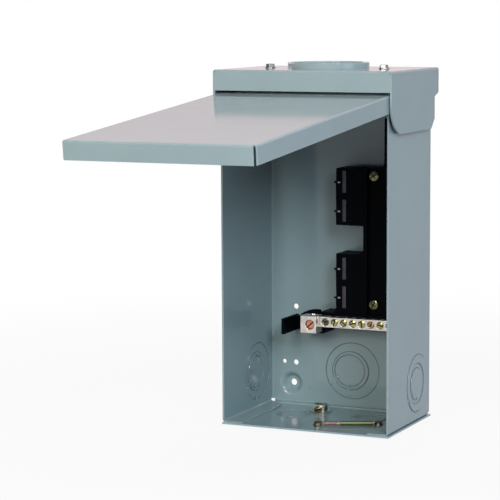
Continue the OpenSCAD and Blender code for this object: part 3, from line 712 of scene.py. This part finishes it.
heads = {
    "pan": {"radius": 4.6 * mm, "height": 3 * mm, "shank": 1.9 * mm, "length": 20 * mm, "slot": 1.0 * mm,
            "cross": True, "slotLength": 1.5},
    "bus": {"radius": 2.6 * mm, "height": 1.8 * mm, "shank": 1.5 * mm, "length": 5 * mm, "slot": 0.7 * mm},
    "neutral": {"radius": 2.95 * mm, "height": 1.8 * mm, "shank": 2.2 * mm, "length": 2 * mm,
                "slot": 1.1 * mm},
    "foot": {"radius": 2.7 * mm, "height": 2 * mm, "shank": 1.8 * mm, "length": 4 * mm, "slot": 0.8 * mm},
    "floor": {"radius": 3.2 * mm, "height": 2 * mm, "shank": 1.8 * mm, "length": 3.2 * mm, "slot": 0.9 * mm},
}
hexHead = {"radius": 3.9 * mm, "height": 3.5 * mm, "topRound": 0.12, "edge": 0.12 * mm, "shank": 2 * mm,
           "length": 8 * mm, "slot": 0.9 * mm, "slotLength": 3, "slotFloor": 0.6, "slotTurn": 0.5,
           "washer": 4.6 * mm, "washerThick": 0.8 * mm, "washerEdge": 0.25 * mm}
grubs = {
    "neutral": {"radius": 4.13 * mm, "length": 2.1 * mm, "slot": 1.2 * mm},
    "ground": {"radius": 3.03 * mm, "length": 5.9 * mm, "slot": 1.1 * mm},
    "line": {"radius": 3.43 * mm, "length": 3.2 * mm, "slot": 1.1 * mm},
}
neutralTurns = [20, 70, -35, 15, 100, 60, -10, 45, 80]
neutralRow = {"first": -9.05, "pitch": 8.55, "seat": 71.2, "sunkSeat": 73.0, "height": 83.1}
sunkOne, brownOne = 0, 5
neutralPlaces = []
for k in range(len(neutralTurns)):
    seat = neutralRow["sunkSeat"] if k == sunkOne else neutralRow["seat"]
    neutralPlaces.append(spot(neutralRow["first"] + neutralRow["pitch"] * k, seat, neutralRow["height"]))
others = [k for k in range(len(neutralTurns)) if k not in (sunkOne, brownOne)]

templates = {key: modelHead("headOf" + key, s) for key, s in heads.items()}
templates["hex"] = modelHex("headOfHex", hexHead)
for key, s in grubs.items():
    templates["grub" + key] = modelGrub("grubOf" + key, s)

screwTable = {
    "hub_screws": ("hex", [spot(-52.5, 51, 305.6), spot(52.5, 51, 305.6)], facingUp, [10, 38]),
    "base_screws": ("pan", [spot(32.2, 82.3, 212.1), spot(32.2, 82.3, 99.3)], facingFront, [35, 62]),
    "bus_screws": ("bus", [spot(x, 79.9, baseMiddle) for x in (50.75, 66.95)], facingFront, [20, 75]),
    "neutral_screws": ("neutral", [neutralPlaces[k] for k in others], facingFront,
                       [neutralTurns[k] for k in others]),
    "ground_foot_screw": ("foot", [spot(-11.25, 74.3, 4.1)], facingUp, [10]),
    "bond_terminal_screw": ("floor", [spot(5, 19.3, 3.3)], facingUp, [60]),
    "bonding_screw": ("floor", [spot(52.8, 40, 3.3)], facingUp, [15]),
    "neutral_lug_screw": ("grubneutral", [spot(-20.6, 63.8, 81.3)], facingFront, [42]),
    "ground_lug_screw": ("grubground", [spot(-11.25, 55.5, 6.8)], facingFront, [25]),
    "line_screw_a": ("grubline", [spot(55.6, 67, 245.2)], facingFront, [40]),
    "line_screw_b": ("grubline", [spot(67.4, 67, 245.2)], facingFront, [-25]),
}
for nodeName, (key, places, facing, turns) in screwTable.items():
    dress(placeScrews(camel(nodeName), templates[key], places, facing, turns), nodeName,
          finish=dullZinc if nodeName == "base_screws" else None)
# The sunk screw gets a darker zinc as painted shade; the brown screw has its own tone
oddScrews = {"brownNeutralScrew": (brownOne, brownZinc), "sunkScrewPaintedShade": (sunkOne, paintedShadeZinc)}
for pieceName, (k, finish) in oddScrews.items():
    oddScrew = placeScrews(pieceName, templates["neutral"], [neutralPlaces[k]], facingFront,
                           [neutralTurns[k]])
    dress(oddScrew, "neutral_screws", finish=finish)
for template in templates.values():
    bpy.data.objects.remove(template)
print("screws placed:", len(screwTable) + len(oddScrews))


# Bonding jumper: six strands laid round a core, spread by the first eye, and a flat eye at each end

jumper = {"from": spot(5, 19.3, 3.6), "to": spot(52.8, 40, 3.6), "strand": 0.43 * mm, "lay": 13 * mm,
          "strands": 6, "steps": 60, "spread": 0.56 * mm, "spreadEnd": 18.1 * mm, "eye": 3.9 * mm,
          "eyeThick": 1.8 * mm, "eyeEdge": 0.4 * mm, "eyeDrop": 1.2 * mm, "hole": 1.9 * mm,
          "clear": 3.6 * mm}


def layStrands(s, start, end, radius):
    parts = []
    for k in range(s["strands"]):
        deselectAll()
        bpy.ops.mesh.primitive_circle_add(vertices=12, radius=radius, location=(0, 0, 0))
        strand = bpy.context.object
        bpy.ops.object.mode_set(mode="EDIT")
        bpy.ops.mesh.select_all(action="SELECT")
        bpy.ops.transform.rotate(value=math.pi / 2, orient_axis="Y", center_override=(0, 0, 0))
        bpy.ops.transform.translate(value=(start, 0, 2 * radius))
        turn = k * 2 * math.pi / s["strands"]
        bpy.ops.transform.rotate(value=turn, orient_axis="X", center_override=(0, 0, 0))
        bpy.ops.object.mode_set(mode="OBJECT")
        sweep = strand.modifiers.new("lay", "SCREW")
        sweep.axis = "X"
        sweep.angle = 2 * math.pi * (end - start) / s["lay"]
        sweep.screw_offset = end - start
        sweep.steps = s["steps"]
        sweep.render_steps = s["steps"]
        bpy.ops.object.modifier_apply(modifier="lay")
        editPart(strand, "EDGE")
        bpy.ops.mesh.select_all(action="SELECT")
        bpy.ops.mesh.fill_holes(sides=0)
        bpy.ops.object.mode_set(mode="OBJECT")
        parts.append(strand)
    deselectAll()
    bpy.ops.mesh.primitive_cylinder_add(vertices=12, radius=radius, depth=end - start,
                                        rotation=(0, math.pi / 2, 0), location=((start + end) / 2, 0, 0))
    bpy.ops.object.transform_apply(location=True, rotation=True)
    parts.append(bpy.context.object)
    return parts


def modelEye(s, end):
    deselectAll()
    bpy.ops.mesh.primitive_cylinder_add(vertices=48, radius=s["eye"], depth=s["eyeThick"])
    eye = bpy.context.object
    bpy.ops.mesh.primitive_cylinder_add(vertices=32, radius=s["hole"], depth=4 * s["eyeThick"])
    hole = bpy.context.object
    cutAway(eye, hole)
    roundEdges(eye, s["eyeEdge"])
    eye.data.transform(Matrix.Translation((end, 0, -s["eyeDrop"])))
    return eye


def modelJumper(s):
    along = s["to"] - s["from"]
    strands = layStrands(s, s["clear"], s["spreadEnd"], s["spread"])
    strands += layStrands(s, s["clear"], along.length - s["clear"], s["strand"])
    wire = joinParts(strands, "bondConductor")
    rings = joinParts([modelEye(s, 0), modelEye(s, along.length)], "bondEyes")
    turn = Matrix.Rotation(math.atan2(along.y, along.x), 4, "Z")
    for piece in (wire, rings):
        faceOutward(piece)
        piece.data.transform(Matrix.Translation(s["from"]) @ turn)
        smooth(piece, 40)
    return wire, rings


bondWire, bondEyes = modelJumper(jumper)
dress(bondWire, "bond_conductor")
dress(bondEyes, "bond_conductor", finish=eyeTin)

# Painted highlight: a lighter band along the front and top of the green sleeve, in degrees round it
highlightBand = {"across": 21, "up": 24}


def paintSleeveHighlight(sleeve, s):
    along = (jumper["to"] - jumper["from"]).normalized()
    front = Vector((along.y, -along.x, 0))
    way = front * math.cos(math.radians(s["up"])) + Vector((0, 0, math.sin(math.radians(s["up"]))))
    sleeve.data.materials.append(sleeveHighlight)
    for face in sleeve.data.polygons:
        if face.normal.dot(way) > math.cos(math.radians(s["across"])):
            face.material_index = 1


paintSleeveHighlight(bpy.data.objects["bondSleeve"], highlightBand)
print("jumper laid")


# Bright steel ticks on the moulded nibs beside the hook ribs

ticks = {"radius": 0.98 * mm, "length": 2.8 * mm, "edge": 0.4 * mm, "x": 0.7, "y": 78.3, "drop": 0.7,
         "spaces": (2, 1, -1, -2)}


def modelTicks(s):
    made = []
    for space in s["spaces"]:
        height = baseMiddle + space * spacePitch - s["drop"]
        deselectAll()
        bpy.ops.mesh.primitive_cylinder_add(vertices=24, radius=s["radius"], depth=s["length"],
                                            rotation=(0, math.pi / 2, 0),
                                            location=spot(s["x"], s["y"], height))
        tick = bpy.context.object
        bpy.ops.object.transform_apply(location=True, rotation=True)
        roundEdges(tick, s["edge"])
        made.append(tick)
    return joinParts(made, "hookTicks")


hookTicks = modelTicks(ticks)
hookTicks.data.materials.append(finishes["plated_screw"])
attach(hookTicks, "box")
print("hook ticks made")


# Metal left standing at the ties of the knockouts

ties = {"radius": 1.4 * mm, "rise": 0.6 * mm, "angles": (210, 264), "wall": [(24.2, 0), (13.1, 2.8)],
        "floor": [(16.5, 0)]}


def modelTies(s):
    sideFaces = (-sheet["sideOuter"], -sheet["sideInner"], sheet["sideInner"], sheet["sideOuter"])
    frames = []
    for angle in s["angles"]:
        across, up = math.cos(math.radians(angle)), math.sin(math.radians(angle))
        for radius, shift in s["wall"]:
            u, v = radius * across - shift, radius * up
            frames.append((spot(knockoutX + u, sheet["rearInner"], knockoutZ + v), turnOf["Y"]))
            for x in sideFaces:
                frames.append((spot(x, knockoutY + u, knockoutZ + v), turnOf["X"]))
        for radius, shift in s["floor"]:
            for x, y in floorKnockouts:
                place = spot(x + radius * across - shift, y + radius * up, sheet["floorTop"])
                frames.append((place, turnOf["Z"]))
    made = []
    for place, turn in frames:
        deselectAll()
        bpy.ops.mesh.primitive_uv_sphere_add(segments=20, ring_count=10, radius=s["radius"])
        nub = bpy.context.object
        bpy.ops.transform.resize(value=(1, 1, s["rise"] / s["radius"]))
        bpy.ops.object.transform_apply(scale=True)
        nub.data.transform(Matrix.Translation(place) @ turn)
        made.append(nub)
    return joinParts(made, "knockoutTies")


knockoutTies = modelTies(ties)
smooth(knockoutTies, 60)
knockoutTies.data.materials.append(finishes["grey_paint"])
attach(knockoutTies, "box")
print("ties modelled")


# Floor, surroundings and lamps

studio = {
    "floorDrop": 0.0024,
    "floorSize": 400.0,
    "floorTone": (0.35, 0.35, 0.35),
    "floorClouds": 3,
    "cloudTone": (0.98, 1.0),
    "floorWhite": 0.93,
    "whiteFrom": 0.25,
    "whiteTo": 0.9,
    "floorInMetal": 0.6,
    "farTone": (0.84, 0.71, 0.73, 1),
    "nearTone": (0.03, 0.04, 0.09, 1),
    "farFrom": -0.3,
    "farTo": 0.7,
}


def makeFloor(s):
    deselectAll()
    bpy.ops.mesh.primitive_plane_add(size=s["floorSize"], location=(0, 0, cadLow.z - s["floorDrop"]))
    floor = bpy.context.object
    floor.name = "floor"
    material = bpy.data.materials.new("paleFloor")
    material.use_nodes = True
    tree = material.node_tree
    tree.nodes.clear()
    coord = addNode(tree, "TexCoord").outputs["Object"]
    cloud = remap(tree, noise(tree, coord, s["floorClouds"]), *s["cloudTone"])
    tone = scaleColor(tree, s["floorTone"], cloud)
    matte = addNode(tree, "BsdfDiffuse", {"Color": tone})
    white = addNode(tree, "Emission", {"Color": (1, 1, 1, 1), "Strength": 1.0})
    away = addNode(tree, "VectorMath", {0: coord}, operation="LENGTH").outputs["Value"]
    share = remap(tree, away, s["floorWhite"], 1.0, s["whiteFrom"], s["whiteTo"])
    path = addNode(tree, "LightPath").outputs
    share = calc(tree, "MULTIPLY", share, path["Is Camera Ray"])
    share = calc(tree, "MAXIMUM", share, calc(tree, "MULTIPLY", path["Is Glossy Ray"], s["floorInMetal"]))
    mixed = addNode(tree, "MixShader", {0: share, 1: matte.outputs[0], 2: white.outputs[0]})
    addNode(tree, "OutputMaterial", {"Surface": mixed.outputs[0]})
    floor.data.materials.append(material)


def makeSurroundings(s):
    world = bpy.data.worlds.new("studioRoom")
    bpy.context.scene.world = world
    world.use_nodes = True
    tree = world.node_tree
    tree.nodes.clear()
    way = addNode(tree, "SeparateXYZ", {0: addNode(tree, "TexCoord").outputs["Generated"]})
    back = remap(tree, way.outputs["Y"], 0, 1, s["farFrom"], s["farTo"])
    tone = mixColor(tree, back, s["nearTone"], s["farTone"])
    room = addNode(tree, "Background", {"Color": tone, "Strength": 1.0})
    white = addNode(tree, "Background", {"Color": (1, 1, 1, 1), "Strength": 1.0})
    seen = addNode(tree, "LightPath").outputs["Is Camera Ray"]
    mixed = addNode(tree, "MixShader", {0: seen, 1: room.outputs[0], 2: white.outputs[0]})
    addNode(tree, "OutputWorld", {"Surface": mixed.outputs[0]})


lamps = {
    "keySoftbox": {"place": (1.40, -1.67, 1.01), "aim": (0, 0, 0), "size": (0.8, 0.8), "watts": 29,
                   "color": (0.85, 0.94, 1.0)},
    "frontSoftbox": {"place": (0.0, -2.28, 0.74), "aim": (0, 0, 0), "size": (0.8, 0.8), "watts": 26,
                     "color": (1.0, 0.94, 0.82)},
    "topSoftbox": {"place": (0.0, -0.62, 0.95), "aim": (0, -0.15, 0.12), "size": (0.5, 0.4), "watts": 4.6,
                   "color": (1.0, 0.70, 0.56)},
    "rightFill": {"place": (2.4, -0.5, 0.6), "aim": (0, -0.1, 0.0), "size": (1.4, 1.4), "watts": 10,
                  "color": (0.74, 0.88, 1.0)},
    "backFill": {"place": (-2.0, 1.1, 0.8), "aim": (0, -0.05, 0.0), "size": (1.2, 1.2), "watts": 12,
                 "color": (1.0, 0.97, 0.95)},
}


def makeLamp(name, s):
    data = bpy.data.lights.new(name, "AREA")
    data.shape = "RECTANGLE"
    data.size, data.size_y = s["size"]
    data.energy = s["watts"]
    data.color = s["color"]
    lamp = bpy.data.objects.new(name, data)
    bpy.context.scene.collection.objects.link(lamp)
    lamp.location = s["place"]
    lamp.rotation_euler = (Vector(s["aim"]) - Vector(s["place"])).to_track_quat("-Z", "Y").to_euler()


makeFloor(studio)
makeSurroundings(studio)
for lampName, lampSettings in lamps.items():
    makeLamp(lampName, lampSettings)
print("stage and lamps ready")
